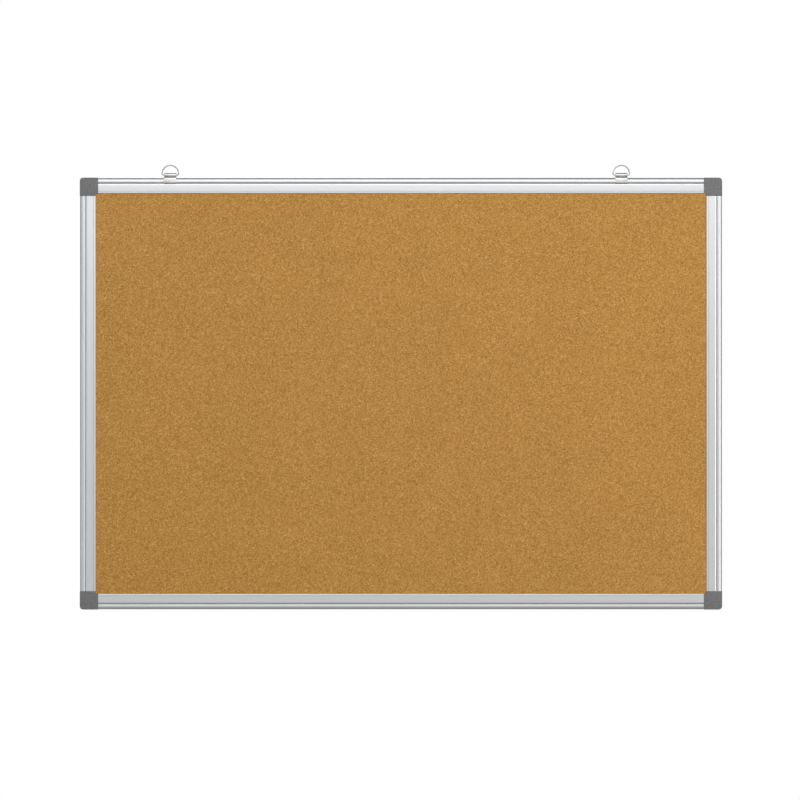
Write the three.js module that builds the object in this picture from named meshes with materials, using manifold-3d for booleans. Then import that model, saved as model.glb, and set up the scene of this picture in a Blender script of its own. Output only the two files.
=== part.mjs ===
// A framed cork bulletin board, 900 x 605 mm, with sliding wire hangers on its top rail.
// Millimetres. +X to the right, the front faces -Y, +Z up. The plane y = 0 is the wall.
// The origin is the middle of the flat back land of the top rail.
import * as THREE from 'three';
import { mergeVertices } from 'three/addons/utils/BufferGeometryUtils.js';
import Module from 'manifold-3d';

// ---- driving dimensions of the board ----
const BOARD_WIDTH = 900;
const BOARD_HEIGHT = 605;
const FRAME_DEPTH = 15;

// The rail's section is drawn in u, inwards from the board's outer edge, and v, back from its front.
const RAIL_WIDTH = 22;
const WALL = 1.4;
const BEAD = { outerRadius: 4.3, crestTo: 5.6, innerRadius: 2, innerSweep: 62 };
const FRONT_GROOVE = { from: 7.4, to: 7.55, depth: 2.15 };
const SHOULDER = { end: 10.2, radius: 3.4, sweep: 45 };
const FINE_LINE = { at: 18.8, half: 0.3, depth: 0.35 };
const LIP_RADIUS = 0.9;
const FACE_FALL = 0.35;
const WEB = { from: 9.4, to: 11 };
const CHAMBER = { from: 1.4, front: 3, back: 11.2 };
const BACK_RECESS_V = 13.6;
const BACK_GROOVE = { from: 6.4, to: 9.6, floor: 12.2 };
const BACK_EDGE_RADIUS = 1;
const BACK_LAND = { from: 10.2, to: 18 };
const SLOT_FRONT = 1.4;
const SLOT_BACK = 13.4;
const LAND_CENTRE = (BACK_LAND.from + BACK_LAND.to) / 2;

// The panel is three sheets in the rails' slot, each a little clear of the next.
const PANEL_EDGE_GAP = 0.2;
const CORK = { front: 1.5, thickness: 3 };
const CORE = { front: 4.7, thickness: 7.9 };
const BACK_SHEET = { front: 12.85, thickness: 0.35 };

// Moulded corner caps, each with two tenons that plug the rails' chambers.
const CAP_LEG = 25.3;
const CAP_PROUD = 0.3;
const CAP_PROUD_FRONT = 0.35;
const CAP_CORNER_RADIUS = 5;
const CAP_EDGE = 0.7;
const CAP_POCKET_GAP = 0.1;
const END_GAP = 0.2;
const TENON_GAP = 0.3;
const TENON_LENGTH = 22;
const TENON_TAPER = 1;

// Self-tapping screws hold the tenons from behind. Their heads stop the hangers.
const SCREW_FROM_END = 9;
const SCREW_U = 3.7;
const SCREW_SHANK_RADIUS = 1.1;
const SCREW_HOLE_RADIUS = 1.35;
const SCREW_HEAD_RADIUS = 2.3;
const SCREW_HEAD_HEIGHT = 1.2;
// The pan head's rounded edge, as shares of its radius and height.
const SCREW_HEAD_EDGE = [[1, 0.4], [0.8, 0.85], [0.5, 1]];
const SCREW_LENGTH = 8.5;
const SCREW_TIP = 1.2;
const SCREW_SEAT_V = BACK_RECESS_V + 0.05;
const SCREW_TIP_V = SCREW_SEAT_V - SCREW_LENGTH;
const CROSS = { width: 0.55, span: 2.6, depth: 0.7 };

// Hanger clips: one strip of sheet steel, curled in the middle round the ring's straight leg.
const CLIP_WIDTH = 17;
const CLIP_SHEET = 0.8;
const CLIP_GAP = 0.2;
const CURL_V = 7.5;
const CURL_HEIGHT = 4.1;
const CURL_RADIUS = 2.5;
const CURL_SWEEP = 157;
const CLIP_FRONT = { legV: -0.7, bend: 2, hookU: 6, hookRadius: 3, hookSweep: 50 };
const CLIP_BACK = { legV: 14.2, bend: 1.3, hookU: 7.8, hookRadius: 0.8, hookSweep: 140 };

const WIRE_RADIUS = 0.9;
const RING_RADIUS = 11.5;
const RING_CORNER = 2;
const RING_SPLIT = 0.4;
const RING_STEPS = 72;
const WIRE_SIDES = 10;

const HANGERS = { left: -323.5, right: 309 };

const ARC_STEPS = 6;
const ROUND_SIDES = 20;
const BEND_STEP_DEGREES = 20;
const WELD = 1e-4;

const wasm = await Module();
wasm.setup();

// ---- materials ----
function finish(colour, roughness, metalness) {
  return new THREE.MeshStandardMaterial({ color: colour, roughness, metalness });
}
const anodisedAluminium = finish(0xd9dadb, 0.32, 1);
const greyAbs = finish(0x727272, 0.6, 0);
const naturalCork = finish(0xb3854a, 0.9, 0);
const fibreboard = finish(0xa58a66, 0.9, 0);
const galvanisedSheet = finish(0xb4b8ba, 0.45, 1);
const nickelledSteel = finish(0xd6d5d2, 0.18, 1);
const zincScrew = finish(0xc3c5c6, 0.3, 1);

// ---- solids ----
function toSolid(geometry) {
  const bare = geometry.clone();
  bare.deleteAttribute('normal');
  bare.deleteAttribute('uv');
  const merged = mergeVertices(bare, WELD);
  const vertProperties = new Float32Array(merged.attributes.position.array);
  const triVerts = new Uint32Array(merged.index.array);
  return new wasm.Manifold(new wasm.Mesh({ numProp: 3, vertProperties, triVerts }));
}

function toGeometry(solid) {
  const { vertProperties, triVerts } = solid.getMesh();
  const geometry = new THREE.BufferGeometry();
  geometry.setAttribute('position', new THREE.BufferAttribute(vertProperties, 3));
  geometry.setIndex(new THREE.BufferAttribute(triVerts, 1));
  geometry.computeVertexNormals();
  return geometry;
}

function block(from, to) {
  const size = to.map((high, axis) => high - from[axis]);
  const box = new THREE.BoxGeometry(...size);
  return box.translate(...to.map((high, axis) => (high + from[axis]) / 2));
}

// A rod along local y, from y = 0 to y = length.
function rod(radius, length) {
  return new THREE.CylinderGeometry(radius, radius, length, ROUND_SIDES).translate(0, length / 2, 0);
}

// ---- rails ----
// The face falls back a little from the shoulder to the lip.
function faceV(u) {
  return (FACE_FALL * (u - SHOULDER.end)) / (RAIL_WIDTH - LIP_RADIUS - SHOULDER.end);
}

// One outline with a hollow chamber: bead, front groove, shoulder, fine line and lip, then the panel
// slot behind them, the flat back land and the recess that the hangers' back legs run in.
function railSection() {
  const s = new THREE.Shape();
  s.moveTo(RAIL_WIDTH, SLOT_FRONT);
  s.lineTo(WEB.to, SLOT_FRONT);
  s.lineTo(WEB.to, SLOT_BACK);
  s.lineTo(BACK_LAND.to, SLOT_BACK);
  s.lineTo(BACK_LAND.to, FRAME_DEPTH);
  s.lineTo(BACK_LAND.from, FRAME_DEPTH);
  s.lineTo(BACK_LAND.from, BACK_RECESS_V);
  s.lineTo(BACK_GROOVE.to, BACK_RECESS_V);
  s.lineTo(BACK_GROOVE.to, BACK_GROOVE.floor);
  s.lineTo(BACK_GROOVE.from, BACK_GROOVE.floor);
  s.lineTo(BACK_GROOVE.from, BACK_RECESS_V);
  s.absarc(BACK_EDGE_RADIUS, BACK_RECESS_V - BACK_EDGE_RADIUS, BACK_EDGE_RADIUS, Math.PI / 2, Math.PI);
  const grooveSide = 1.5 * Math.PI + THREE.MathUtils.degToRad(BEAD.innerSweep);
  s.absarc(BEAD.outerRadius, BEAD.outerRadius, BEAD.outerRadius, Math.PI, 1.5 * Math.PI);
  s.absarc(BEAD.crestTo, BEAD.innerRadius, BEAD.innerRadius, 1.5 * Math.PI, grooveSide);
  s.lineTo(FRONT_GROOVE.from, FRONT_GROOVE.depth);
  s.lineTo(FRONT_GROOVE.to, FRONT_GROOVE.depth);
  const shoulderStart = 1.5 * Math.PI - THREE.MathUtils.degToRad(SHOULDER.sweep);
  s.absarc(SHOULDER.end, SHOULDER.radius, SHOULDER.radius, shoulderStart, 1.5 * Math.PI);
  const lineFrom = FINE_LINE.at - FINE_LINE.half;
  const lineTo = FINE_LINE.at + FINE_LINE.half;
  s.lineTo(lineFrom, faceV(lineFrom));
  s.lineTo(FINE_LINE.at, faceV(FINE_LINE.at) + FINE_LINE.depth);
  s.lineTo(lineTo, faceV(lineTo));
  const lipCentreV = FACE_FALL + LIP_RADIUS;
  s.absarc(RAIL_WIDTH - LIP_RADIUS, lipCentreV, LIP_RADIUS, 1.5 * Math.PI, 2 * Math.PI);
  s.closePath();

  const chamber = new THREE.Path();
  chamber.moveTo(CHAMBER.from, CHAMBER.front);
  chamber.lineTo(WEB.from, CHAMBER.front);
  chamber.lineTo(WEB.from, CHAMBER.back);
  chamber.lineTo(CHAMBER.from, CHAMBER.back);
  chamber.closePath();
  s.holes.push(chamber);
  return s;
}

// A rail lies along local z, centred, with u on x and v on y. A hole for a screw near each end
// goes through the wall behind the chamber.
function railGeometry(sideLength) {
  const length = sideLength - 2 * (CAP_LEG + END_GAP);
  const options = { depth: length, bevelEnabled: false, curveSegments: ARC_STEPS };
  const bar = new THREE.ExtrudeGeometry(railSection(), options).translate(0, 0, -length / 2);
  let solid = toSolid(bar);
  for (const end of [-1, 1]) {
    const hole = rod(SCREW_HOLE_RADIUS, FRAME_DEPTH);
    hole.translate(SCREW_U, CHAMBER.back - WALL, end * (length / 2 - SCREW_FROM_END));
    solid = solid.subtract(toSolid(hole));
  }
  return toGeometry(solid);
}

// ---- corner caps ----
// An L in a and b, the distances inwards from the two outer edges; the notch clears the cork.
function capOutline() {
  const low = -CAP_PROUD;
  const s = new THREE.Shape();
  s.moveTo(low + CAP_CORNER_RADIUS, low);
  s.lineTo(CAP_LEG, low);
  s.lineTo(CAP_LEG, RAIL_WIDTH);
  s.lineTo(RAIL_WIDTH, RAIL_WIDTH);
  s.lineTo(RAIL_WIDTH, CAP_LEG);
  s.lineTo(low, CAP_LEG);
  s.lineTo(low, low + CAP_CORNER_RADIUS);
  const centre = low + CAP_CORNER_RADIUS;
  s.absarc(centre, centre, CAP_CORNER_RADIUS, Math.PI, 1.5 * Math.PI);
  return s;
}

// A tenon along +b, for the rail whose u runs along +a. Its tip tapers to start it in the chamber.
function tenon() {
  const from = [CHAMBER.from + TENON_GAP, CHAMBER.front + TENON_GAP];
  const to = [WEB.from - TENON_GAP, CHAMBER.back - TENON_GAP];
  const width = to[0] - from[0];
  const depth = to[1] - from[1];
  const s = new THREE.Shape();
  s.moveTo(-width / 2, WEB.from);
  s.lineTo(width / 2, WEB.from);
  s.lineTo(width / 2, CAP_LEG + TENON_LENGTH - TENON_TAPER);
  s.lineTo(width / 2 - TENON_TAPER, CAP_LEG + TENON_LENGTH);
  s.lineTo(TENON_TAPER - width / 2, CAP_LEG + TENON_LENGTH);
  s.lineTo(-width / 2, CAP_LEG + TENON_LENGTH - TENON_TAPER);
  s.closePath();
  const bar = new THREE.ExtrudeGeometry(s, { depth, bevelEnabled: false });
  bar.translate((from[0] + to[0]) / 2, 0, from[1]);
  const pilot = rod(SCREW_HOLE_RADIUS, FRAME_DEPTH).rotateX(Math.PI / 2);
  pilot.translate(SCREW_U, CAP_LEG + END_GAP + SCREW_FROM_END, SCREW_TIP_V - TENON_GAP);
  return toSolid(bar).subtract(toSolid(pilot));
}

// Swaps a and b and keeps the faces pointing out.
function swapped(solid) {
  return solid.mirror([1, -1, 0]);
}

// The cap is drawn with a on x, b on y and v on z.
function capSolid() {
  const bevel = {
    bevelEnabled: true,
    bevelSize: CAP_EDGE,
    bevelThickness: CAP_EDGE,
    bevelOffset: -CAP_EDGE,
    bevelSegments: 3,
    curveSegments: ARC_STEPS,
  };
  const depth = FRAME_DEPTH + CAP_PROUD_FRONT - 2 * CAP_EDGE;
  const moulding = new THREE.ExtrudeGeometry(capOutline(), { depth, ...bevel });
  moulding.translate(0, 0, CAP_EDGE - CAP_PROUD_FRONT);
  const pocket = block([WEB.to, WEB.to, SLOT_FRONT - CAP_POCKET_GAP], [2 * CAP_LEG, 2 * CAP_LEG, SLOT_BACK]);
  const arm = tenon();
  return toSolid(moulding).subtract(toSolid(pocket)).add(arm).add(swapped(arm));
}

// ---- screws ----
// A pan-head screw along local y: the tip at y = 0, the head at the far end with a cross recess.
function screwGeometry() {
  const seat = SCREW_LENGTH;
  const top = seat + SCREW_HEAD_HEIGHT;
  const profile = [
    [0, 0],
    [SCREW_SHANK_RADIUS, SCREW_TIP],
    [SCREW_SHANK_RADIUS, seat],
    [SCREW_HEAD_RADIUS, seat],
    ...SCREW_HEAD_EDGE.map(([r, y]) => [r * SCREW_HEAD_RADIUS, seat + y * SCREW_HEAD_HEIGHT]),
    [0, top],
  ];
  const turned = new THREE.LatheGeometry(profile.map(([r, y]) => new THREE.Vector2(r, y)), ROUND_SIDES);
  let solid = toSolid(turned);
  const [half, reach] = [CROSS.width / 2, CROSS.span / 2];
  for (const [x, z] of [[half, reach], [reach, half]]) {
    solid = solid.subtract(toSolid(block([-x, top - CROSS.depth, -z], [x, top + 1, z])));
  }
  return toGeometry(solid);
}

// ---- hanger clips ----
// A pen that walks the middle of the strip in x, away from the curl, and h, above the rail.
class Pen {
  constructor(x, h) {
    this.at = new THREE.Vector2(x, h);
    this.heading = 0;
    this.marks = [];
    this.mark();
  }

  mark() {
    this.marks.push({ at: this.at.clone(), heading: this.heading });
  }

  forward(distance) {
    this.at.add(new THREE.Vector2(Math.cos(this.heading), Math.sin(this.heading)).multiplyScalar(distance));
    this.mark();
  }

  // A positive angle turns left.
  turn(radius, degrees) {
    const side = Math.sign(degrees);
    const start = this.heading;
    const centre = this.at.clone().add(new THREE.Vector2(-Math.sin(start), Math.cos(start))
      .multiplyScalar(side * radius));
    const steps = Math.max(3, Math.ceil(Math.abs(degrees) / BEND_STEP_DEGREES));
    for (let i = 1; i <= steps; i += 1) {
      this.heading = start + THREE.MathUtils.degToRad(degrees) * (i / steps);
      this.at.set(Math.sin(this.heading), -Math.cos(this.heading)).multiplyScalar(side * radius).add(centre);
      this.mark();
    }
  }
}

// Half of the strip's middle line, from the top of the curl down one side to the hook's tip. The
// front hook follows the bead into the front groove; the back one turns into the back groove.
function clipHalf({ legV, bend, hookU, hookRadius, hookSweep }) {
  const pen = new Pen(0, CURL_HEIGHT + CURL_RADIUS);
  pen.turn(CURL_RADIUS, -CURL_SWEEP);
  const topOfRail = CLIP_GAP + CLIP_SHEET / 2;
  const sweep = THREE.MathUtils.degToRad(CURL_SWEEP);
  pen.turn((pen.at.y - topOfRail) / (1 - Math.cos(sweep)), CURL_SWEEP);
  pen.forward(Math.abs(legV - CURL_V) - bend - pen.at.x);
  pen.turn(bend, -90);
  pen.forward(pen.at.y + hookU);
  pen.turn(hookRadius, -hookSweep);
  return pen.marks;
}

function clipGeometry() {
  const front = clipHalf(CLIP_FRONT);
  const back = clipHalf(CLIP_BACK);
  const offset = ({ at, heading }, by) => [at.x - by * Math.sin(heading), at.y + by * Math.cos(heading)];
  const half = CLIP_SHEET / 2;
  const outer = [
    ...front.map((mark) => offset(mark, half)).map(([x, h]) => [CURL_V - x, h]).reverse(),
    ...back.slice(1).map((mark) => offset(mark, half)).map(([x, h]) => [CURL_V + x, h]),
  ];
  const inner = [
    ...back.map((mark) => offset(mark, -half)).map(([x, h]) => [CURL_V + x, h]).reverse(),
    ...front.slice(1).map((mark) => offset(mark, -half)).map(([x, h]) => [CURL_V - x, h]),
  ];
  const outline = new THREE.Shape([...outer, ...inner].map(([v, h]) => new THREE.Vector2(v, h)));
  const strip = new THREE.ExtrudeGeometry(outline, { depth: CLIP_WIDTH, bevelEnabled: false });
  return strip.translate(0, 0, -CLIP_WIDTH / 2);
}

// ---- D-rings ----
// The wire's middle line: a straight leg, two small corners and a half circle. It starts and ends
// in the middle of the leg, where the wire's two ends almost meet inside the clip's curl.
class RingPath extends THREE.Curve {
  constructor() {
    super();
    const leg = RING_RADIUS - RING_CORNER;
    const corner = (Math.PI / 2) * RING_CORNER;
    this.runs = [leg - RING_SPLIT / 2, corner, Math.PI * RING_RADIUS, corner, leg - RING_SPLIT / 2];
    this.total = this.runs.reduce((sum, run) => sum + run, 0);
  }

  getPoint(t) {
    const leg = RING_RADIUS - RING_CORNER;
    let [run, along] = [0, t * this.total];
    while (run < this.runs.length - 1 && along > this.runs[run]) {
      along -= this.runs[run];
      run += 1;
    }
    const arc = (x, radius, from) => {
      const angle = from + along / radius;
      return new THREE.Vector3(x + radius * Math.cos(angle), 0, RING_CORNER + radius * Math.sin(angle));
    };
    return [
      () => new THREE.Vector3(RING_SPLIT / 2 + along, 0, 0),
      () => arc(leg, RING_CORNER, -Math.PI / 2),
      () => arc(0, RING_RADIUS, 0),
      () => arc(-leg, RING_CORNER, Math.PI),
      () => new THREE.Vector3(along - leg, 0, 0),
    ][run]();
  }
}

function ringGeometry() {
  const wire = new THREE.Shape();
  wire.absarc(0, 0, WIRE_RADIUS, 0, 2 * Math.PI);
  const options = { steps: RING_STEPS, curveSegments: WIRE_SIDES / 2, extrudePath: new RingPath() };
  return new THREE.ExtrudeGeometry(wire, options);
}

// ---- assembly ----
const corkBoard = new THREE.Group();
const frame = new THREE.Group();
frame.position.set(0, -FRAME_DEPTH, LAND_CENTRE - BOARD_HEIGHT / 2);
corkBoard.add(frame);

function addMesh(parent, name, geometry, material) {
  const mesh = new THREE.Mesh(geometry, material);
  mesh.name = name;
  parent.add(mesh);
  return mesh;
}

// Each side of the frame is drawn as if it were the top one and turned into place about y. The
// cap of a side is the one at its left end, and its screws go into that side's own rail.
const SIDES = [
  { rail: 'top', cap: 'top_left', long: BOARD_WIDTH, across: BOARD_HEIGHT },
  { rail: 'right', cap: 'top_right', long: BOARD_HEIGHT, across: BOARD_WIDTH },
  { rail: 'bottom', cap: 'bottom_right', long: BOARD_WIDTH, across: BOARD_HEIGHT },
  { rail: 'left', cap: 'bottom_left', long: BOARD_HEIGHT, across: BOARD_WIDTH },
];
const uDownVBack = new THREE.Matrix4().makeBasis(
  new THREE.Vector3(0, 0, -1),
  new THREE.Vector3(0, 1, 0),
  new THREE.Vector3(1, 0, 0),
);
const aRightBDown = new THREE.Matrix4().makeBasis(
  new THREE.Vector3(1, 0, 0),
  new THREE.Vector3(0, 0, -1),
  new THREE.Vector3(0, 1, 0),
);
const capGeometry = toGeometry(capSolid());
const screw = screwGeometry();

SIDES.forEach(({ rail, cap, long, across }, turn) => {
  const side = new THREE.Group();
  side.rotation.y = turn * (Math.PI / 2);
  frame.add(side);
  const bar = addMesh(side, `rail_${rail}`, railGeometry(long), anodisedAluminium);
  bar.applyMatrix4(uDownVBack);
  bar.position.set(0, 0, across / 2);
  const corner = addMesh(side, `corner_cap_${cap}`, capGeometry, greyAbs);
  corner.applyMatrix4(aRightBDown);
  corner.position.set(-long / 2, 0, across / 2);
  for (const end of [-1, 1]) {
    const fastener = addMesh(side, `corner_screw_${rail}_${end < 0 ? 'a' : 'b'}`, screw, zincScrew);
    const x = end * (long / 2 - CAP_LEG - END_GAP - SCREW_FROM_END);
    fastener.position.set(x, SCREW_TIP_V, across / 2 - SCREW_U);
  }
});

const panelWidth = BOARD_WIDTH - 2 * (WEB.to + PANEL_EDGE_GAP);
const panelHeight = BOARD_HEIGHT - 2 * (WEB.to + PANEL_EDGE_GAP);
function addSheet(name, { front, thickness }, material) {
  const sheet = new THREE.BoxGeometry(panelWidth, thickness, panelHeight);
  addMesh(frame, name, sheet, material).position.y = front + thickness / 2;
}
addSheet('cork_sheet', CORK, naturalCork);
addSheet('core_board', CORE, fibreboard);
addSheet('back_sheet', BACK_SHEET, galvanisedSheet);

// A clip is drawn with v on x, h on y and its width on z.
const vBackHUp = new THREE.Matrix4().makeBasis(
  new THREE.Vector3(0, 1, 0),
  new THREE.Vector3(0, 0, 1),
  new THREE.Vector3(1, 0, 0),
);
const clip = clipGeometry();
const ring = ringGeometry();
for (const [side, x] of Object.entries(HANGERS)) {
  const hanger = new THREE.Group();
  hanger.position.set(x, -FRAME_DEPTH, LAND_CENTRE);
  corkBoard.add(hanger);
  addMesh(hanger, `hanger_clip_${side}`, clip, nickelledSteel).applyMatrix4(vBackHUp);
  addMesh(hanger, `d_ring_${side}`, ring, nickelledSteel).position.set(0, CURL_V, CURL_HEIGHT);
}

export default corkBoard;
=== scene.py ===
import math

import bmesh
import bpy
from mathutils import Matrix, Vector, geometry, noise


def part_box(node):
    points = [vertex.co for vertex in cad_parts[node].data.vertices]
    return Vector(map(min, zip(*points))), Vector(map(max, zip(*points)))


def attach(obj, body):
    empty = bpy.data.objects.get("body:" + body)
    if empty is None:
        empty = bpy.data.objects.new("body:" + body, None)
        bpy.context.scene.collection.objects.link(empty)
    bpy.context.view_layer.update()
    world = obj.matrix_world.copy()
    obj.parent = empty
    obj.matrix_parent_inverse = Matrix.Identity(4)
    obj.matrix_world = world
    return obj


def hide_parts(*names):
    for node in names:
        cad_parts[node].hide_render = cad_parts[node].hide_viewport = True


# A framed cork bulletin board, 900 by 605 mm. Sizes are in millimetres, turned to metres by MM.
MM = 0.001

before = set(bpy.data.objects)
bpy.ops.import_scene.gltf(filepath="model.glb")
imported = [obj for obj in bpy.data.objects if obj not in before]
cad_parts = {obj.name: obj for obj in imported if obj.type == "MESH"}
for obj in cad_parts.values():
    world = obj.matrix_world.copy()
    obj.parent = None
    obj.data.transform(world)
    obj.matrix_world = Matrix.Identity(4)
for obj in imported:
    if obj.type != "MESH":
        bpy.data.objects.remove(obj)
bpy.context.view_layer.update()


# ---- where the board is, from the frame ----

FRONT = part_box("rail_top")[0].y
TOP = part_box("rail_top")[1].z
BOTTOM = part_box("rail_bottom")[0].z
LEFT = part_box("rail_left")[0].x
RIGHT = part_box("rail_right")[1].x
CENTRE = Vector(((LEFT + RIGHT) / 2, FRONT, (TOP + BOTTOM) / 2))
WIDTH = RIGHT - LEFT
HEIGHT = TOP - BOTTOM


def link(name, data):
    """A new object in the scene for that camera, light or mesh."""
    made = bpy.data.objects.new(name, data)
    bpy.context.scene.collection.objects.link(made)
    return made


# ---- the camera: square on to the face, from far off ----

LENS = 400.0
SENSOR = 36.0
CLIP_END = 100.0
# How much the picture takes in at the board, and where its middle is from the board's middle.
VIEW_WIDTH = 1.1214
VIEW_OFFSET = Vector((-1.4, 0.0, -9.0)) * MM


def make_camera():
    data = bpy.data.cameras.new("camera")
    data.lens = LENS
    data.sensor_width = SENSOR
    data.clip_end = CLIP_END
    camera = link("camera", data)
    distance = VIEW_WIDTH * LENS / SENSOR
    camera.location = CENTRE + VIEW_OFFSET - Vector((0.0, distance, 0.0))
    camera.rotation_euler = (math.pi / 2, 0.0, 0.0)
    bpy.context.scene.camera = camera


make_camera()


# ---- drawing outlines ----

# Points nearer than this, in millimetres, are one point.
SAME_POINT = 1e-6


class Outline:
    """A flat outline, point by point, in millimetres."""

    def __init__(self, x, y):
        self.points = [(x, y)]

    def line(self, *corners):
        self.points.extend(corners)

    def arc(self, x, y, radius, start, end, steps):
        """A stretch of a circle about (x, y), its angles in degrees from +x towards +y."""
        for i in range(steps + 1):
            angle = math.radians(start + (end - start) * i / steps)
            point = (x + radius * math.cos(angle), y + radius * math.sin(angle))
            if math.dist(point, self.points[-1]) > SAME_POINT:
                self.points.append(point)


class Pen:
    """Walks the middle line of a bent strip or wire, in millimetres, and keeps its heading."""

    def __init__(self, x, y):
        self.x, self.y, self.heading = x, y, 0.0
        self.marks = [(x, y, self.heading)]

    def forward(self, distance, steps=1):
        for _ in range(steps):
            self.x += math.cos(self.heading) * distance / steps
            self.y += math.sin(self.heading) * distance / steps
            self.marks.append((self.x, self.y, self.heading))

    def turn(self, radius, degrees, step=6.0):
        """Bends left for a positive angle and right for a negative one."""
        side = math.copysign(1.0, degrees)
        centre_x = self.x - side * radius * math.sin(self.heading)
        centre_y = self.y + side * radius * math.cos(self.heading)
        steps = max(3, math.ceil(abs(degrees) / step))
        for _ in range(steps):
            self.heading += math.radians(degrees) / steps
            self.x = centre_x + side * radius * math.sin(self.heading)
            self.y = centre_y - side * radius * math.cos(self.heading)
            self.marks.append((self.x, self.y, self.heading))


# ---- making meshes ----

def closed_mesh(name, vertices, faces):
    """A mesh with its faces turned outwards."""
    mesh = bpy.data.meshes.new(name)
    mesh.from_pydata([tuple(v) for v in vertices], [], faces)
    work = bmesh.new()
    work.from_mesh(mesh)
    bmesh.ops.recalc_face_normals(work, faces=work.faces)
    work.to_mesh(mesh)
    work.free()
    return mesh


def make_piece(name, mesh, material, sharp):
    """A piece of that mesh, shaded smooth except at edges sharper than that angle, in degrees."""
    mesh.shade_smooth()
    mesh.set_sharp_from_angle(angle=math.radians(sharp))
    mesh.materials.append(material)
    return link(name, mesh)


def settle(piece, node, body):
    """The piece stands for its CAD node, which is hidden, and moves with its body."""
    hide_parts(node)
    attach(piece, body)


def sweep(marks, section, place):
    """A closed bar: the section, as (across, outwards) points, carried along the pen's marks.

    place(x, y, across) gives the point on the board, in metres."""
    vertices, faces = [], []
    count = len(section)
    for x, y, heading in marks:
        for across, outwards in section:
            vertices.append(place(
                x - outwards * math.sin(heading),
                y + outwards * math.cos(heading),
                across,
            ))
    for i in range(len(marks) - 1):
        for j in range(count):
            a, b = i * count + j, i * count + (j + 1) % count
            faces.append((a, b, b + count, a + count))
    last = (len(marks) - 1) * count
    faces.append(tuple(reversed(range(count))))
    faces.append(tuple(range(last, last + count)))
    return vertices, faces


def extrude(loops, low, high, place):
    """A closed prism of an outline with holes, from low to high along its third axis.

    place(x, y, z) gives the point where it is wanted."""
    flat = [point for loop in loops for point in loop]
    triangles = geometry.tessellate_polygon([[Vector((x, y, 0.0)) for x, y in loop] for loop in loops])
    total = len(flat)
    vertices = [place(x, y, z) for z in (low, high) for x, y in flat]
    faces = [tuple(t) for t in triangles]
    faces += [tuple(i + total for i in reversed(t)) for t in triangles]
    start = 0
    for loop in loops:
        for i in range(len(loop)):
            a, b = start + i, start + (i + 1) % len(loop)
            faces.append((a, b, b + total, a + total))
        start += len(loop)
    return vertices, faces


def combine(base, others):
    """Applies (operation, vertices, faces) to the base mesh in turn and returns the result."""
    body = link("working", base)
    tools = []
    for operation, vertices, faces in others:
        tool = link("working", closed_mesh("working", vertices, faces))
        tools.append(tool)
        modifier = body.modifiers.new("cut", "BOOLEAN")
        modifier.operation = operation
        modifier.solver = "EXACT"
        modifier.object = tool
    result = bpy.data.meshes.new_from_object(body.evaluated_get(bpy.context.evaluated_depsgraph_get()))
    for made in (body, *tools):
        bpy.data.objects.remove(made)
    return result


def box_mesh(low, high):
    """A box's corners and faces."""
    corners = [(x, y, z) for x in (low[0], high[0]) for y in (low[1], high[1]) for z in (low[2], high[2])]
    faces = [(0, 1, 3, 2), (4, 6, 7, 5), (0, 4, 5, 1), (2, 3, 7, 6), (0, 2, 6, 4), (1, 5, 7, 3)]
    return corners, faces


# ---- making materials ----

def linear(hex_colour):
    """An sRGB hex colour as linear RGBA."""
    channels = [int(hex_colour[i:i + 2], 16) / 255 for i in (1, 3, 5)]
    return (*[c / 12.92 if c <= 0.04045 else ((c + 0.055) / 1.055) ** 2.4 for c in channels], 1.0)


def add(tree, kind, inputs=None, stops=None, **settings):
    """Adds a node with its settings, its input values or links, and its colour stops."""
    node = tree.nodes.new(kind)
    for name, value in settings.items():
        setattr(node, name, value)
    for name, value in (inputs or {}).items():
        if isinstance(value, bpy.types.NodeSocket):
            tree.links.new(value, node.inputs[name])
        else:
            node.inputs[name].default_value = value
    if stops:
        elements = node.color_ramp.elements
        while len(elements) < len(stops):
            elements.new(1.0)
        for element, (position, colour) in zip(elements, stops):
            element.position = position
            element.color = colour
    return node


def grey(value):
    return (value, value, value, 1.0)


def start_material(name):
    """A new material: its tree, its Principled shader and the place on the piece, in metres."""
    material = bpy.data.materials.new(name)
    material.use_nodes = True
    tree = material.node_tree
    shader = tree.nodes["Principled BSDF"]
    place = tree.nodes.new("ShaderNodeTexCoord").outputs["Object"]
    return material, tree, shader, place


def per_metre(size_mm):
    """How many of a pattern's repeats of that size fit in a metre."""
    return 1.0 / (size_mm * MM)


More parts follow.
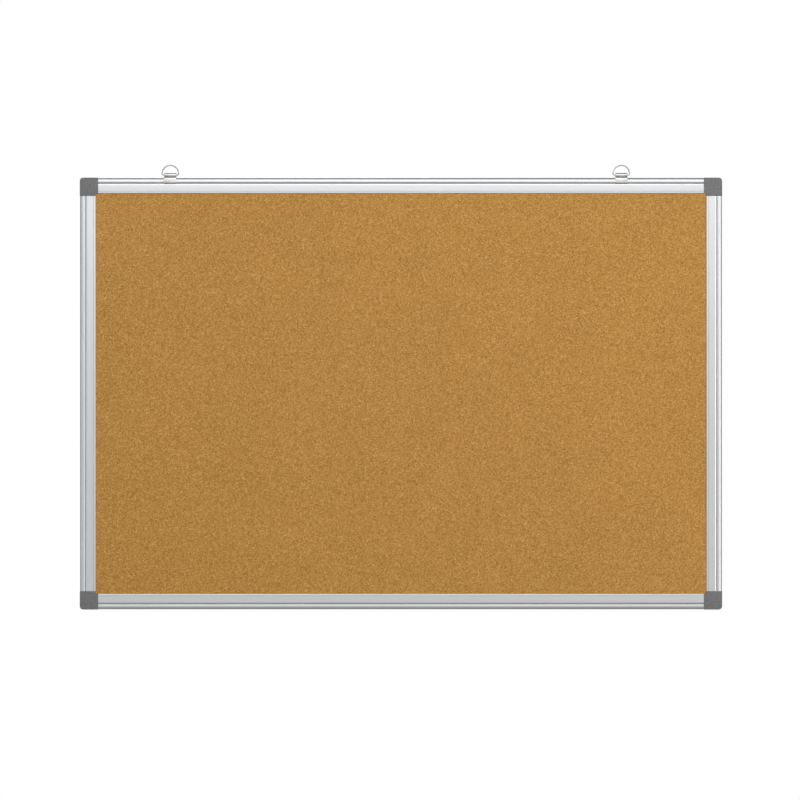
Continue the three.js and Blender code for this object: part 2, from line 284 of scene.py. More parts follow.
# Extruded, satin-etched and anodised aluminium. The etch gives a soft, broad shine, and the die
# leaves very fine lines along the bar that break it into faint streaks.
def satin_anodised_aluminium(along):
    material, tree, shader, place = start_material(f"satin_anodised_aluminium_{along}")
    line_width, line_length, etch_grain = 0.35, 400.0, 0.9
    across = per_metre(line_width)
    stretch = {"x": (per_metre(line_length), across, across), "z": (across, across, per_metre(line_length))}
    lines_at = add(tree, "ShaderNodeMapping", {"Vector": place, "Scale": stretch[along]})
    die_lines = add(tree, "ShaderNodeTexNoise", {
        "Vector": lines_at.outputs["Vector"], "Scale": 1.0, "Detail": 3.0, "Roughness": 0.6})
    etch = add(tree, "ShaderNodeTexNoise", {
        "Vector": place, "Scale": per_metre(etch_grain), "Detail": 2.0, "Roughness": 0.5})
    tone = add(tree, "ShaderNodeValToRGB", {"Fac": die_lines.outputs["Fac"]},
               stops=[(0.3, linear("#c8c9ca")), (0.7, linear("#d2d3d4"))])
    shine = add(tree, "ShaderNodeMapRange", {
        "Value": die_lines.outputs["Fac"], "From Min": 0.3, "From Max": 0.7, "To Min": 0.33, "To Max": 0.4})
    height = add(tree, "ShaderNodeMath", {0: die_lines.outputs["Fac"], 1: etch.outputs["Fac"]},
                 operation="ADD")
    relief = add(tree, "ShaderNodeBump", {
        "Strength": 0.25, "Distance": 0.01 * MM, "Height": height.outputs["Value"]})
    shader.inputs["Metallic"].default_value = 1.0
    tree.links.new(tone.outputs["Color"], shader.inputs["Base Color"])
    tree.links.new(shine.outputs["Result"], shader.inputs["Roughness"])
    tree.links.new(relief.outputs["Normal"], shader.inputs["Normal"])
    return material


# Injection-moulded ABS with a spark-eroded texture: an even dark grey, dull, with a fine grain
# that shows as a slight mottle.
def spark_textured_abs():
    material, tree, shader, place = start_material("spark_textured_abs")
    grain_size, mottle_size = 0.4, 1.9
    grain = add(tree, "ShaderNodeTexNoise", {
        "Vector": place, "Scale": per_metre(grain_size), "Detail": 2.0, "Roughness": 0.55})
    mottle = add(tree, "ShaderNodeTexNoise", {
        "Vector": place, "Scale": per_metre(mottle_size), "Detail": 3.0, "Roughness": 0.8})
    tone = add(tree, "ShaderNodeValToRGB", {"Fac": mottle.outputs["Fac"]},
               stops=[(0.25, linear("#454545")), (0.75, linear("#828282"))])
    shine = add(tree, "ShaderNodeMapRange", {
        "Value": grain.outputs["Fac"], "From Min": 0.3, "From Max": 0.7, "To Min": 0.5, "To Max": 0.68})
    relief = add(tree, "ShaderNodeBump", {
        "Strength": 0.7, "Distance": 0.1 * MM, "Height": grain.outputs["Fac"]})
    shader.inputs["IOR"].default_value = 1.53
    tree.links.new(tone.outputs["Color"], shader.inputs["Base Color"])
    tree.links.new(shine.outputs["Result"], shader.inputs["Roughness"])
    tree.links.new(relief.outputs["Normal"], shader.inputs["Normal"])
    return material


# Agglomerated natural cork, sliced and sanded: granules of 1 to 3 mm pressed together, each its
# own shade of tan, with darker bark specks, fine pores between them and a dry, dull surface.
def natural_cork():
    material, tree, shader, place = start_material("natural_cork")
    granule_size, grit_size, patch_size, speck_size = 1.25, 0.6, 90.0, 1.6
    # the granules' edges wander, as torn bark's do: the wander's own size, and its full reach
    wander_size, wander_by = 1.1, 1.3
    wander = add(tree, "ShaderNodeTexNoise", {
        "Vector": place, "Scale": per_metre(wander_size), "Detail": 3.0, "Roughness": 0.6})
    centred = add(tree, "ShaderNodeVectorMath", {
        0: wander.outputs["Color"], 1: (0.5, 0.5, 0.5)}, operation="SUBTRACT")
    shifted = add(tree, "ShaderNodeVectorMath", {
        0: centred.outputs["Vector"], 1: (wander_by * MM,) * 3}, operation="MULTIPLY")
    bent = add(tree, "ShaderNodeVectorMath", {0: place, 1: shifted.outputs["Vector"]}, operation="ADD")
    granules = add(tree, "ShaderNodeTexVoronoi", {
        "Vector": bent.outputs["Vector"], "Scale": per_metre(granule_size), "Randomness": 1.0})
    seams = add(tree, "ShaderNodeTexVoronoi", {
        "Vector": bent.outputs["Vector"], "Scale": per_metre(granule_size), "Randomness": 1.0},
        feature="DISTANCE_TO_EDGE")
    specks = add(tree, "ShaderNodeTexVoronoi", {
        "Vector": bent.outputs["Vector"], "Scale": per_metre(speck_size), "Randomness": 1.0})
    grit = add(tree, "ShaderNodeTexNoise", {
        "Vector": place, "Scale": per_metre(grit_size), "Detail": 3.0, "Roughness": 0.65})
    patches = add(tree, "ShaderNodeTexNoise", {
        "Vector": place, "Scale": per_metre(patch_size), "Detail": 2.0, "Roughness": 0.5})
    shade = add(tree, "ShaderNodeSeparateColor", {"Color": granules.outputs["Color"]})
    granule_tone = add(tree, "ShaderNodeValToRGB", {"Fac": shade.outputs["Red"]}, stops=[
        (0.0, linear("#a06f2b")), (0.12, linear("#b38038")), (0.5, linear("#c08c43")),
        (0.85, linear("#cc984d")), (1.0, linear("#dcad65"))])
    speck_pick = add(tree, "ShaderNodeSeparateColor", {"Color": specks.outputs["Color"]})
    speck_amount = add(tree, "ShaderNodeValToRGB", {"Fac": speck_pick.outputs["Green"]},
                       stops=[(0.93, grey(0.0)), (0.96, grey(0.55))])
    specked = add(tree, "ShaderNodeMix", {
        0: speck_amount.outputs["Color"], 6: granule_tone.outputs["Color"], 7: linear("#8a5f2c")},
        data_type="RGBA")
    grit_tone = add(tree, "ShaderNodeValToRGB", {"Fac": grit.outputs["Fac"]},
                    stops=[(0.3, grey(0.78)), (0.7, grey(1.0))])
    gritty = add(tree, "ShaderNodeMix", {
        0: 0.7, 6: specked.outputs[2], 7: grit_tone.outputs["Color"]},
        data_type="RGBA", blend_type="MULTIPLY")
    patch_tone = add(tree, "ShaderNodeValToRGB", {"Fac": patches.outputs["Fac"]},
                     stops=[(0.3, grey(0.96)), (0.7, grey(1.0))])
    toned = add(tree, "ShaderNodeMix", {
        0: 1.0, 6: gritty.outputs[2], 7: patch_tone.outputs["Color"]},
        data_type="RGBA", blend_type="MULTIPLY")
    pores = add(tree, "ShaderNodeMapRange", {
        "Value": seams.outputs["Distance"], "From Min": 0.0, "From Max": 0.14, "To Min": 0.0, "To Max": 1.0})
    pore_tone = add(tree, "ShaderNodeValToRGB", {"Fac": pores.outputs["Result"]},
                    stops=[(0.0, grey(0.88)), (1.0, grey(1.0))])
    finished = add(tree, "ShaderNodeMix", {
        0: 1.0, 6: toned.outputs[2], 7: pore_tone.outputs["Color"]},
        data_type="RGBA", blend_type="MULTIPLY")
    height = add(tree, "ShaderNodeMath", {0: pores.outputs["Result"], 1: grit.outputs["Fac"]},
                 operation="ADD")
    relief = add(tree, "ShaderNodeBump", {
        "Strength": 0.5, "Distance": 0.15 * MM, "Height": height.outputs["Value"]})
    shine = add(tree, "ShaderNodeMapRange", {
        "Value": grit.outputs["Fac"], "From Min": 0.3, "From Max": 0.7, "To Min": 0.78, "To Max": 0.92})
    shader.inputs["IOR"].default_value = 1.4
    tree.links.new(finished.outputs[2], shader.inputs["Base Color"])
    tree.links.new(shine.outputs["Result"], shader.inputs["Roughness"])
    tree.links.new(relief.outputs["Normal"], shader.inputs["Normal"])
    return material


# Wood-fibre softboard: pale brown felted fibres, seen only if the panel is taken out.
def felted_fibreboard():
    material, tree, shader, place = start_material("felted_fibreboard")
    fibre_width, fibre_length = 0.5, 6.0
    flow = add(tree, "ShaderNodeMapping", {
        "Vector": place, "Scale": (per_metre(fibre_length), per_metre(fibre_width), per_metre(fibre_width))})
    fibres = add(tree, "ShaderNodeTexNoise", {
        "Vector": flow.outputs["Vector"], "Scale": 1.0, "Detail": 4.0, "Roughness": 0.7, "Distortion": 0.6})
    tone = add(tree, "ShaderNodeValToRGB", {"Fac": fibres.outputs["Fac"]},
               stops=[(0.3, linear("#8d7150")), (0.7, linear("#b39a74"))])
    relief = add(tree, "ShaderNodeBump", {
        "Strength": 0.6, "Distance": 0.2 * MM, "Height": fibres.outputs["Fac"]})
    shader.inputs["Roughness"].default_value = 0.95
    tree.links.new(tone.outputs["Color"], shader.inputs["Base Color"])
    tree.links.new(relief.outputs["Normal"], shader.inputs["Normal"])
    return material


# Hot-dip galvanised sheet: grey zinc in flat crystals, the spangle, each catching the light a
# little differently.
def spangled_galvanised_steel():
    material, tree, shader, place = start_material("spangled_galvanised_steel")
    spangle_size, feather_size = 9.0, 1.2
    crystals = add(tree, "ShaderNodeTexVoronoi", {
        "Vector": place, "Scale": per_metre(spangle_size), "Randomness": 1.0})
    pick = add(tree, "ShaderNodeSeparateColor", {"Color": crystals.outputs["Color"]})
    feathers = add(tree, "ShaderNodeTexNoise", {
        "Vector": place, "Scale": per_metre(feather_size), "Detail": 4.0, "Roughness": 0.65})
    tone = add(tree, "ShaderNodeValToRGB", {"Fac": pick.outputs["Red"]},
               stops=[(0.0, linear("#c8cacc")), (1.0, linear("#cfd1d2"))])
    crystal_shine = add(tree, "ShaderNodeMapRange", {
        "Value": pick.outputs["Green"], "From Min": 0.0, "From Max": 1.0, "To Min": 0.38, "To Max": 0.46})
    shine = add(tree, "ShaderNodeMath", {
        0: feathers.outputs["Fac"], 1: 0.12, 2: crystal_shine.outputs["Result"]}, operation="MULTIPLY_ADD")
    relief = add(tree, "ShaderNodeBump", {
        "Strength": 0.3, "Distance": 0.02 * MM, "Height": feathers.outputs["Fac"]})
    shader.inputs["Metallic"].default_value = 1.0
    tree.links.new(tone.outputs["Color"], shader.inputs["Base Color"])
    tree.links.new(shine.outputs["Value"], shader.inputs["Roughness"])
    tree.links.new(relief.outputs["Normal"], shader.inputs["Normal"])
    return material


# Bright nickel or zinc plate on steel: a faintly warm, mirror-like shine, dulled here and there by
# barrel-plating marks and fine rubs.
def bright_plate(name, low_tone, high_tone, dull, bright):
    material, tree, shader, place = start_material(name)
    rub_size, cloud_size = 0.5, 5.0
    rubs = add(tree, "ShaderNodeTexNoise", {
        "Vector": place, "Scale": per_metre(rub_size), "Detail": 3.0, "Roughness": 0.6})
    clouds = add(tree, "ShaderNodeTexNoise", {
        "Vector": place, "Scale": per_metre(cloud_size), "Detail": 2.0, "Roughness": 0.5})
    tone = add(tree, "ShaderNodeValToRGB", {"Fac": clouds.outputs["Fac"]},
               stops=[(0.35, linear(low_tone)), (0.65, linear(high_tone))])
    shine = add(tree, "ShaderNodeMapRange", {
        "Value": clouds.outputs["Fac"], "From Min": 0.35, "From Max": 0.65, "To Min": bright, "To Max": dull})
    relief = add(tree, "ShaderNodeBump", {
        "Strength": 0.15, "Distance": 0.01 * MM, "Height": rubs.outputs["Fac"]})
    shader.inputs["Metallic"].default_value = 1.0
    tree.links.new(tone.outputs["Color"], shader.inputs["Base Color"])
    tree.links.new(shine.outputs["Result"], shader.inputs["Roughness"])
    tree.links.new(relief.outputs["Normal"], shader.inputs["Normal"])
    return material


ALUMINIUM = {"x": satin_anodised_aluminium("x"), "z": satin_anodised_aluminium("z")}
ABS = spark_textured_abs()
CORK = natural_cork()
FIBREBOARD = felted_fibreboard()
GALVANISED = spangled_galvanised_steel()
NICKEL_STRIP = bright_plate("bright_nickel_plated_strip", "#bebdbc", "#cac9c8", 0.3, 0.22)
NICKEL_WIRE = bright_plate("bright_nickel_plated_wire", "#acabaa", "#b9b8b7", 0.3, 0.22)
ZINC = bright_plate("bright_zinc_plated_screw", "#acabaa", "#b9b8b7", 0.34, 0.24)


# ---- rails ----
# A rail's section is drawn in u, inwards from the board's outer edge, and v, back from its front.

RAIL_WIDTH = 22.0
FRAME_DEPTH = 15.0
BEAD_RADIUS = 4.3
CREST_TO = 5.6
GROOVE_SIDE_RADIUS, GROOVE_SIDE_SWEEP = 2.0, 62.0
GROOVE_FROM, GROOVE_TO, GROOVE_DEPTH = 7.4, 7.55, 2.15
SHOULDER_END, SHOULDER_RADIUS, SHOULDER_SWEEP = 10.2, 3.4, 45.0
LINE_AT, LINE_HALF, LINE_DEPTH = 18.8, 0.3, 0.35
LIP_RADIUS = 0.9
FACE_FALL = 0.35
SLOT_FRONT, SLOT_BACK = 1.4, 13.4
WEB_FROM, WEB_TO = 9.4, 11.0
CHAMBER_FROM, CHAMBER_FRONT, CHAMBER_BACK = 1.4, 3.0, 11.2
RECESS_V = 13.6
BACK_EDGE_RADIUS = 1.0
BACK_GROOVE_FROM, BACK_GROOVE_TO, BACK_GROOVE_V = 6.4, 9.6, 12.2
LAND_FROM, LAND_TO, LAND_EDGE = 10.2, 18.0, 0.3
CAP_LEG = 25.3
END_GAP = 0.2
SIDES = ("top", "right", "bottom", "left")


def face_v(u):
    """The face falls back a little from the shoulder to the lip; its depth there, to the micron."""
    return round(FACE_FALL * (u - SHOULDER_END) / (RAIL_WIDTH - LIP_RADIUS - SHOULDER_END), 3)


def rail_outline():
    """The rail's section, and the chamber inside it."""
    land_edge_v = FRAME_DEPTH - LAND_EDGE
    outline = Outline(RAIL_WIDTH, SLOT_FRONT)
    outline.line((WEB_TO, SLOT_FRONT), (WEB_TO, SLOT_BACK), (LAND_TO, SLOT_BACK))
    outline.arc(LAND_TO - LAND_EDGE, land_edge_v, LAND_EDGE, 0, 90, steps=4)
    outline.arc(LAND_FROM + LAND_EDGE, land_edge_v, LAND_EDGE, 90, 180, steps=4)
    outline.line((LAND_FROM, RECESS_V), (BACK_GROOVE_TO, RECESS_V), (BACK_GROOVE_TO, BACK_GROOVE_V))
    outline.line((BACK_GROOVE_FROM, BACK_GROOVE_V), (BACK_GROOVE_FROM, RECESS_V))
    outline.arc(BACK_EDGE_RADIUS, RECESS_V - BACK_EDGE_RADIUS, BACK_EDGE_RADIUS, 90, 180, steps=8)
    outline.arc(BEAD_RADIUS, BEAD_RADIUS, BEAD_RADIUS, 180, 270, steps=28)
    outline.arc(CREST_TO, GROOVE_SIDE_RADIUS, GROOVE_SIDE_RADIUS, 270, 270 + GROOVE_SIDE_SWEEP, steps=18)
    outline.line((GROOVE_FROM, GROOVE_DEPTH), (GROOVE_TO, GROOVE_DEPTH))
    outline.arc(SHOULDER_END, SHOULDER_RADIUS, SHOULDER_RADIUS, 270 - SHOULDER_SWEEP, 270, steps=14)
    line_from, line_to = LINE_AT - LINE_HALF, LINE_AT + LINE_HALF
    outline.line((line_from, face_v(line_from)), (LINE_AT, face_v(LINE_AT) + LINE_DEPTH),
                 (line_to, face_v(line_to)))
    outline.arc(RAIL_WIDTH - LIP_RADIUS, FACE_FALL + LIP_RADIUS, LIP_RADIUS, 270, 360, steps=10)
    chamber = [(CHAMBER_FROM, CHAMBER_FRONT), (WEB_FROM, CHAMBER_FRONT),
               (WEB_FROM, CHAMBER_BACK), (CHAMBER_FROM, CHAMBER_BACK)]
    return [outline.points, chamber]


def turned(side):
    """Turns a point given for the top side to that side, about the board's middle."""
    spin = Matrix.Rotation(SIDES.index(side) * math.pi / 2, 4, "Y")
    return Matrix.Translation(CENTRE) @ spin


def along_and_across(side):
    """The frame's size along that side, and across to the one opposite."""
    return (WIDTH, HEIGHT) if side in ("top", "bottom") else (HEIGHT, WIDTH)


def make_rail(side):
    long, across = along_and_across(side)
    half = long / 2 / MM - CAP_LEG - END_GAP
    move = turned(side)

    def place(u, v, along):
        return move @ Vector((along * MM, v * MM, across / 2 - u * MM))

    mesh = closed_mesh("rail", *extrude(rail_outline(), -half, half, place))
    aluminium = ALUMINIUM["x" if side in ("top", "bottom") else "z"]
    rail = make_piece(f"rail_{side}_extrusion", mesh, aluminium, sharp=28.0)
    settle(rail, f"rail_{side}", "board")


for side in SIDES:
    make_rail(side)


# ---- corner caps ----
# A cap is drawn in a and b, both inwards from the board's outer edges, and v, back from its front.

CAP_PROUD = 0.3
CAP_PROUD_FRONT = 0.35
CAP_CORNER = 5.0
CAP_EDGE = 0.8
NOTCH_RADIUS = 0.4
POCKET_GAP = 0.1
# Edges of the moulding that turn by more than this, in degrees, are rounded.
ROUNDED_FROM = 40.0
# Faces that turn by less than this, in radians, are one face.
FLAT_WITHIN = 0.001
TENON_GAP = 0.3
TENON_LENGTH = 22.0
TIP_TAPER, TIP_INSET = 1.0, 1.2
# Crush ribs on a tenon's sides: each rises, stays full up to a share of the pitch and falls again.
RIB_PITCH, RIB_DEPTH, RIB_RISE, RIB_SHARE, RIB_MARGIN = 3.2, 0.35, 0.6, 0.55, 1.5
CAPS = {"top_left": "top", "top_right": "right", "bottom_right": "bottom", "bottom_left": "left"}


def cap_moulding():
    """The L-shaped body, solid, with its edges rounded."""
    low = -CAP_PROUD
    notch = RAIL_WIDTH + NOTCH_RADIUS
    outline = Outline(CAP_LEG, low)
    outline.line((CAP_LEG, RAIL_WIDTH))
    outline.arc(notch, notch, NOTCH_RADIUS, 270, 180, steps=4)
    outline.line((RAIL_WIDTH, CAP_LEG), (low, CAP_LEG))
    outline.arc(low + CAP_CORNER, low + CAP_CORNER, CAP_CORNER, 180, 270, steps=20)
    vertices, faces = extrude([outline.points], -CAP_PROUD_FRONT, FRAME_DEPTH, lambda a, b, v: (a, b, v))
    mesh = closed_mesh("cap_body", vertices, faces)
    work = bmesh.new()
    work.from_mesh(mesh)
    bmesh.ops.dissolve_limit(work, angle_limit=FLAT_WITHIN, verts=work.verts, edges=work.edges)
    rims = [e for e in work.edges if e.calc_face_angle(0.0) > math.radians(ROUNDED_FROM)]
    bmesh.ops.bevel(work, geom=rims, offset=CAP_EDGE, segments=5, profile=0.5, affect="EDGES",
                    clamp_overlap=True)
    work.to_mesh(mesh)
    work.free()
    return mesh


def tenon(swap):
    """A ribbed tenon with a tapered tip, along b, or along a if swapped."""
    low_u, high_u = CHAMBER_FROM + TENON_GAP, WEB_FROM - TENON_GAP
    low_v, high_v = CHAMBER_FRONT + TENON_GAP, CHAMBER_BACK - TENON_GAP
    tip = CAP_LEG + TENON_LENGTH
    rib_foot = high_u - RIB_DEPTH
    right = [(rib_foot, WEB_FROM)]
    along = CAP_LEG + RIB_MARGIN
    while along + RIB_PITCH < tip - RIB_MARGIN:
        right += [(rib_foot, along), (high_u, along + RIB_RISE),
                  (high_u, along + RIB_PITCH * RIB_SHARE), (rib_foot, along + RIB_PITCH)]
        along += RIB_PITCH
    right += [(rib_foot, tip - TIP_TAPER), (high_u - TIP_INSET, tip)]
    left = [(low_u + high_u - u, b) for u, b in reversed(right)]

    def place(u, b, v):
        return (b, u, v) if swap else (u, b, v)

    return extrude([right + left], low_v, high_v, place)


def cap_mesh():
    """The body with a pocket for the panel's corner and two tenons for the rails."""
    pocket = box_mesh((WEB_TO, WEB_TO, SLOT_FRONT - POCKET_GAP), (2 * CAP_LEG, 2 * CAP_LEG, SLOT_BACK))
    return combine(cap_moulding(), [
        ("DIFFERENCE", *pocket), ("UNION", *tenon(False)), ("UNION", *tenon(True))])


def make_caps():
    moulded = cap_mesh()
    for corner, side in CAPS.items():
        long, across = along_and_across(side)
        # a runs to the right, b down and v back
        drawn = Matrix(((MM, 0, 0, -long / 2), (0, 0, MM, 0), (0, -MM, 0, across / 2), (0, 0, 0, 1)))
        mesh = moulded.copy()
        mesh.transform(turned(side) @ drawn)
        cap = make_piece(f"corner_cap_{corner}_moulding", mesh, ABS, sharp=25.0)
        settle(cap, f"corner_cap_{corner}", "board")


make_caps()


# ---- corner screws ----

SCREW_LENGTH = 8.5
SCREW_SIDES = 32
# The tip widens by rows; the thread's rows follow, then the plain shank under the head.
TIP_RADIUS, TIP_WIDER, TIP_ROW, TIP_ROWS = 0.25, 0.16, 0.12, 4
ROOT_RADIUS = 0.88
SHANK_RADIUS, SHANK_FROM = 1.1, 8.3
THREAD_PITCH, THREAD_DEPTH = 0.9, 0.2
THREAD_FROM, THREAD_TO = 0.3, 8.2
# Half of a thread's ridge, as a share of its pitch.
THREAD_RIDGE = 1 / 3
ROWS_FROM, THREAD_ROW, THREAD_ROWS = 0.6, 0.15, 51
HEAD_RADIUS, HEAD_EDGE, HEAD_EDGE_RISE, HEAD_SIDE, HEAD_DOME = 2.3, 0.2, 0.15, 0.5, 0.7
CROSS_HALF, CROSS_REACH, CROSS_FLOOR, CROSS_ABOVE = 0.3, 1.25, 0.45, 2.0
# Each screw stops at its own turn: the first one's, and how much each next one adds, in degrees.
FIRST_TURN, NEXT_TURN = 10, 25


def screw_profile():
    """Half of the screw's outline, as radius and height, from above its tip to below its top."""
    profile = [(TIP_RADIUS + TIP_WIDER * i, TIP_ROW * i) for i in range(1, TIP_ROWS + 1)]
    profile += [(ROOT_RADIUS, ROWS_FROM + THREAD_ROW * i) for i in range(THREAD_ROWS)]
    profile += [(SHANK_RADIUS, SHANK_FROM), (SHANK_RADIUS, SCREW_LENGTH)]
    profile += [(HEAD_RADIUS - HEAD_EDGE, SCREW_LENGTH), (HEAD_RADIUS, SCREW_LENGTH + HEAD_EDGE_RISE)]
    profile += [(HEAD_RADIUS, SCREW_LENGTH + HEAD_SIDE)]
    for degrees in range(12, 84, 12):
        angle = math.radians(degrees)
        profile.append((HEAD_RADIUS * math.cos(angle),
                        SCREW_LENGTH + HEAD_SIDE + HEAD_DOME * math.sin(angle)))
    return profile


def screw_mesh():
    """A pan-head self-tapping screw along +y in millimetres, its tip at y = 0."""
    profile = screw_profile()
    vertices, faces = [(0.0, 0.0, 0.0)], []
    for radius, y in profile:
        threaded = THREAD_FROM < y < THREAD_TO
        for i in range(SCREW_SIDES):
            angle = 2 * math.pi * i / SCREW_SIDES
            phase = (y / THREAD_PITCH - i / SCREW_SIDES) % 1.0
            crest = max(0.0, 1.0 - abs(phase - 0.5) / THREAD_RIDGE) if threaded else 0.0
            r = radius + THREAD_DEPTH * crest
            vertices.append((r * math.cos(angle), y, r * math.sin(angle)))
    rings = len(profile)
    vertices.append((0.0, SCREW_LENGTH + HEAD_SIDE + HEAD_DOME, 0.0))
    top = len(vertices) - 1
    for i in range(SCREW_SIDES):
        j = (i + 1) % SCREW_SIDES
        faces.append((0, 1 + i, 1 + j))
        for ring in range(rings - 1):
            a = 1 + ring * SCREW_SIDES
            faces.append((a + i, a + SCREW_SIDES + i, a + SCREW_SIDES + j, a + j))
        a = 1 + (rings - 1) * SCREW_SIDES
        faces.append((a + i, top, a + j))
    floor, above = SCREW_LENGTH + CROSS_FLOOR, SCREW_LENGTH + CROSS_ABOVE
    cuts = [("DIFFERENCE", *box_mesh((-x, floor, -z), (x, above, z)))
            for x, z in ((CROSS_HALF, CROSS_REACH), (CROSS_REACH, CROSS_HALF))]
    return combine(closed_mesh("screw", vertices, faces), cuts)


def make_screws():
    threaded_screw = screw_mesh()
    nodes = [f"corner_screw_{side}_{end}" for side in SIDES for end in "ab"]
    for number, node in enumerate(nodes):
        low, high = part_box(node)
        at = (low + high) / 2
        twist = Matrix.Rotation(math.radians(FIRST_TURN + NEXT_TURN * number), 4, "Y")
        mesh = threaded_screw.copy()
        mesh.transform(Matrix.Translation((at.x, low.y, at.z)) @ Matrix.Scale(MM, 4) @ twist)
        screw = make_piece(f"{node}_pan_head", mesh, ZINC, sharp=35.0)
        settle(screw, node, "board")


make_screws()


# ---- the panel ----

CORK_STEP = 2.4
CORK_RELIEF = 0.09
# The relief's broad swells, and finer ones on them that are a share of their size.
SWELL_SIZE, FINER_BY, FINER_SHIFT = 4.5, 2.3, Vector((7, 3, 1))
SHEET_STEP = 12.0
SHEET_WAVE = 0.07
# The steel sheet's waves for each metre along it and up it, and where the noise is cut.
WAVES_ALONG, WAVES_UP, WAVE_CUT = 9.0, 6.0, 4.0


def slab(low, high, step, height):
    """A closed slab whose front, towards -y, is a grid moved by height(x, z), away from its edges."""
    columns = max(2, round((high.x - low.x) / step))
    rows = max(2, round((high.z - low.z) / step))
    vertices, faces = [], []
    for r in range(rows + 1):
        z = low.z + (high.z - low.z) * r / rows
        for c in range(columns + 1):
            x = low.x + (high.x - low.x) * c / columns
            inner = 0 < r < rows and 0 < c < columns
            vertices.append((x, low.y + (height(x, z) if inner else 0.0), z))
    wide = columns + 1
    for r in range(rows):
        for c in range(columns):
            a = r * wide + c
            faces.append((a, a + 1, a + wide + 1, a + wide))
    rim = list(range(columns))
    rim += [columns + r * wide for r in range(rows)]
    rim += [rows * wide + columns - c for c in range(columns)]
    rim += [(rows - r) * wide for r in range(rows)]
    first = len(vertices)
    for i in rim:
        x, _, z = vertices[i]
        vertices.append((x, high.y, z))
    count = len(rim)
    for i in range(count):
        j = (i + 1) % count
        faces.append((rim[j], rim[i], first + i, first + j))
    faces.append(tuple(first + i for i in range(count)))
    return vertices, faces


def granule_relief(x, z):
    """How far the sanded cork lies below its highest granules, in metres."""
    point = Vector((x, 0.0, z)) * per_metre(SWELL_SIZE)
    swell = noise.noise(point)
    finer = noise.noise(point * FINER_BY + FINER_SHIFT)
    return CORK_RELIEF * MM * (0.5 + 0.5 * swell + 0.5 * finer)


def sheet_wave(x, z):
    """The slow waves that thin sheet keeps from its coil, in metres."""
    return SHEET_WAVE * MM * (1.0 + noise.noise(Vector((x * WAVES_ALONG, WAVE_CUT, z * WAVES_UP))))


def make_panel():
    mesh = closed_mesh("cork", *slab(*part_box("cork_sheet"), CORK_STEP * MM, granule_relief))
    cork = make_piece("cork_sheet_face", mesh, CORK, sharp=60.0)
    settle(cork, "cork_sheet", "board")
    low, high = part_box("back_sheet")
    # drawn facing the front, then turned round so that the waves are on the side that shows
    vertices, faces = slab(low, high, SHEET_STEP * MM, sheet_wave)
    vertices = [(low.x + high.x - x, low.y + high.y - y, z) for x, y, z in vertices]
    mesh = closed_mesh("back_sheet", vertices, faces)
    sheet = make_piece("back_sheet_galvanised", mesh, GALVANISED, sharp=60.0)
    settle(sheet, "back_sheet", "board")
    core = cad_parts["core_board"]
    for material_slot in core.material_slots:
        material_slot.link = "OBJECT"
        material_slot.material = FIBREBOARD


make_panel()


# ---- hangers ----

CLIP_WIDTH = 17.0
CLIP_SHEET = 0.8
CLIP_EDGE = 0.15
CLIP_GAP = 0.2
CURL_V, CURL_HEIGHT, CURL_RADIUS, CURL_SWEEP = 7.5, 4.1, 2.5, 157.0
# The clip's halves: where the leg is, the bend into it, where its hook starts, and the hook's bend.
CLIP_FRONT = {"leg_v": -0.7, "bend": 2.0, "hook_u": 6.0, "hook_radius": 3.0, "hook_sweep": 50.0}
CLIP_BACK = {"leg_v": 14.2, "bend": 1.3, "hook_u": 7.8, "hook_radius": 0.8, "hook_sweep": 140.0}
WIRE_RADIUS = 0.9
WIRE_SIDES = 24
RING_RADIUS = 11.5
RING_CORNER = 2.0
RING_SPLIT = 0.4


def clip_half(leg_v, bend, hook_u, hook_radius, hook_sweep):
    """Half of the clip's middle line, in x, away from the curl, and h, above the rail."""
    pen = Pen(0.0, CURL_HEIGHT + CURL_RADIUS)
    pen.turn(CURL_RADIUS, -CURL_SWEEP)
    rest = CLIP_GAP + CLIP_SHEET / 2
    fold = (pen.y - rest) / (1 - math.cos(math.radians(CURL_SWEEP)))
    pen.turn(fold, CURL_SWEEP, step=12.0)
    pen.forward(abs(leg_v - CURL_V) - bend - pen.x)
    pen.turn(bend, -90.0)
    pen.forward(pen.y + hook_u)
    pen.turn(hook_radius, -hook_sweep)
    return pen.marks


def rounded_strip():
    """The sheet's section: as wide as the clip, with its sheared edges rounded."""
    half_wide, half_thick = CLIP_WIDTH / 2 - CLIP_EDGE, CLIP_SHEET / 2 - CLIP_EDGE
    outline = Outline(half_wide, -half_thick - CLIP_EDGE)
    corners = ((half_wide, -half_thick, 270), (half_wide, half_thick, 0),
               (-half_wide, half_thick, 90), (-half_wide, -half_thick, 180))
    for x, y, start in corners:
        outline.arc(x, y, CLIP_EDGE, start, start + 90, steps=4)
    return outline.points


def make_clip(side):
    node = f"hanger_clip_{side}"
    low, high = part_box(node)
    middle = (low.x + high.x) / 2
    # the front half is mirrored and walked backwards, so that the strip runs on through the curl
    front = [(-x, h, -heading) for x, h, heading in reversed(clip_half(**CLIP_FRONT))]
    back = clip_half(**CLIP_BACK)

    def place(x, h, across):
        return Vector((middle + across * MM, FRONT + (CURL_V + x) * MM, TOP + h * MM))

    mesh = closed_mesh("clip", *sweep(front + back[1:], rounded_strip(), place))
    clip = make_piece(f"{node}_strip", mesh, NICKEL_STRIP, sharp=40.0)
    settle(clip, node, f"clip_{side}")


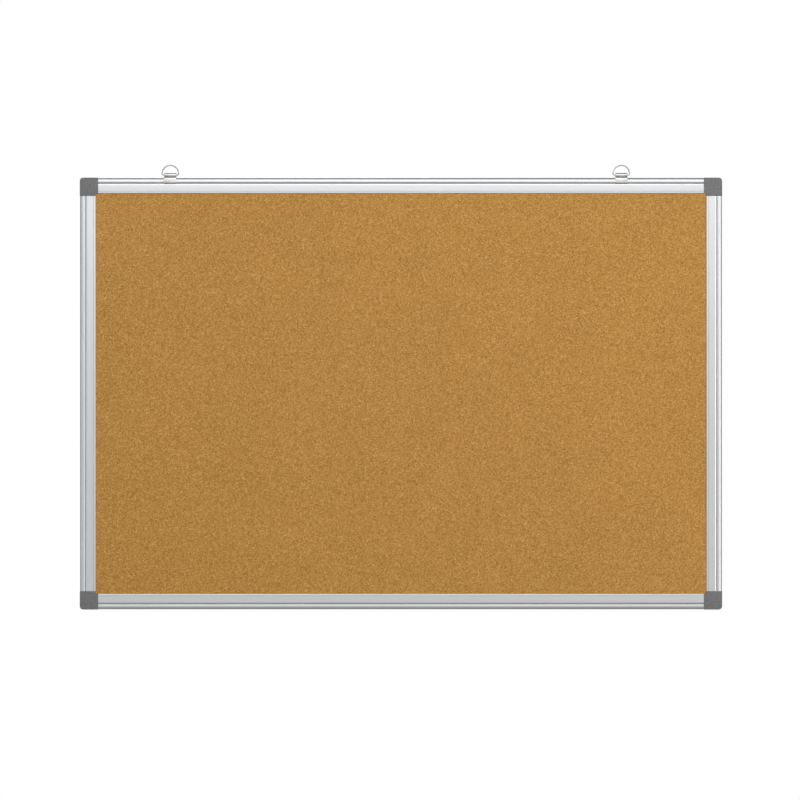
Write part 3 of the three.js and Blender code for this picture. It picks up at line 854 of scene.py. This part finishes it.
def make_ring(side):
    node = f"d_ring_{side}"
    low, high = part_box(node)
    middle = (low.x + high.x) / 2
    half_leg = RING_RADIUS - RING_CORNER - RING_SPLIT / 2
    pen = Pen(RING_SPLIT / 2, 0.0)
    pen.forward(half_leg, steps=4)
    pen.turn(RING_CORNER, 90.0, step=9.0)
    pen.turn(RING_RADIUS, 180.0, step=3.0)
    pen.turn(RING_CORNER, 90.0, step=9.0)
    pen.forward(half_leg, steps=4)
    turns = [2 * math.pi * i / WIRE_SIDES for i in range(WIRE_SIDES)]
    wire = [(WIRE_RADIUS * math.sin(angle), WIRE_RADIUS * math.cos(angle)) for angle in turns]

    def place(x, h, across):
        return Vector((middle + x * MM, FRONT + (CURL_V + across) * MM, TOP + (CURL_HEIGHT + h) * MM))

    mesh = closed_mesh("ring", *sweep(pen.marks, wire, place))
    ring = make_piece(f"{node}_wire", mesh, NICKEL_WIRE, sharp=50.0)
    settle(ring, node, f"ring_{side}")


for side in ("left", "right"):
    make_clip(side)
    make_ring(side)


# ---- the studio ----

FLOOR_DROP = 0.5
FLOOR_RADIUS = 5.0
FLOOR_SIDES = 96
FLOOR_GLOW = 0.72
# Each softbox: where it stands from the board's middle, its size in metres and its power in watts.
SOFTBOXES = {
    "front_softbox": (Vector((0.0, -1.7, 1.0)), (1.7, 1.3), 13.2),
    "right_softbox": (Vector((1.6, -1.1, 0.1)), (1.4, 1.6), 11.0),
    "left_softbox": (Vector((-2.0, -0.85, 0.1)), (0.5, 1.6), 2.8),
    "back_softbox": (Vector((-0.6, 1.9, 1.0)), (1.4, 1.0), 14.0),
}
# How bright the room glows by direction, from 0, straight away from GLOW_TOWARDS, to 1, straight to it.
GLOW_TOWARDS = Vector((0.0, -1.0, 0.18))
GLOW = ((0.0, 0.6), (0.3, 0.46), (0.5, 0.24), (0.7, 0.38), (0.88, 0.66), (1.0, 0.81))


def make_floor():
    """A plain pale floor that lights nothing and shows in no reflection."""
    work = bmesh.new()
    bmesh.ops.create_circle(work, cap_ends=True, segments=FLOOR_SIDES, radius=FLOOR_RADIUS)
    mesh = bpy.data.meshes.new("floor")
    work.to_mesh(mesh)
    work.free()
    floor = link("floor", mesh)
    floor.location = (CENTRE.x, CENTRE.y, BOTTOM - FLOOR_DROP)
    floor.visible_glossy = False
    floor.visible_diffuse = False
    material, _, shader, _ = start_material("matt_white_floor")
    shader.inputs["Base Color"].default_value = grey(0.3)
    shader.inputs["Roughness"].default_value = 0.9
    shader.inputs["Emission Color"].default_value = grey(1.0)
    shader.inputs["Emission Strength"].default_value = FLOOR_GLOW
    mesh.materials.append(material)


def make_softbox(name, place, size, power):
    """A rectangular light that looks at the board's middle."""
    data = bpy.data.lights.new(name, "AREA")
    data.shape = "RECTANGLE"
    data.size, data.size_y = size
    data.energy = power
    light = link(name, data)
    light.visible_camera = False
    light.location = CENTRE + place
    light.rotation_euler = (-place).to_track_quat("-Z", "Y").to_euler()


def make_sky():
    """A room that looks white to the camera and lights the board with a soft glow, which falls off
    to the sides, so that the metal's turned edges draw themselves in grey."""
    world = bpy.data.worlds.new("studio")
    bpy.context.scene.world = world
    world.use_nodes = True
    tree = world.node_tree
    tree.nodes.clear()
    direction = add(tree, "ShaderNodeTexCoord").outputs["Generated"]
    towards = add(tree, "ShaderNodeVectorMath", {0: direction, 1: GLOW_TOWARDS.normalized()},
                  operation="DOT_PRODUCT")
    share = add(tree, "ShaderNodeMapRange", {
        "Value": towards.outputs["Value"], "From Min": -1.0, "From Max": 1.0, "To Min": 0.0, "To Max": 1.0})
    glow = add(tree, "ShaderNodeValToRGB", {"Fac": share.outputs["Result"]},
               stops=[(position, grey(value)) for position, value in GLOW])
    lit = add(tree, "ShaderNodeBackground", {"Color": glow.outputs["Color"], "Strength": 1.0})
    seen = add(tree, "ShaderNodeBackground", {"Color": grey(1.0), "Strength": 1.0})
    path = add(tree, "ShaderNodeLightPath")
    both = add(tree, "ShaderNodeMixShader", {
        0: path.outputs["Is Camera Ray"], 1: lit.outputs["Background"], 2: seen.outputs["Background"]})
    add(tree, "ShaderNodeOutputWorld", {"Surface": both.outputs["Shader"]})


make_floor()
for name, (place, size, power) in SOFTBOXES.items():
    make_softbox(name, place, size, power)
make_sky()

scene = bpy.context.scene
scene.view_settings.view_transform = "Standard"
scene.view_settings.look = "None"
scene.view_settings.exposure = 0.0
scene.view_settings.gamma = 1.0
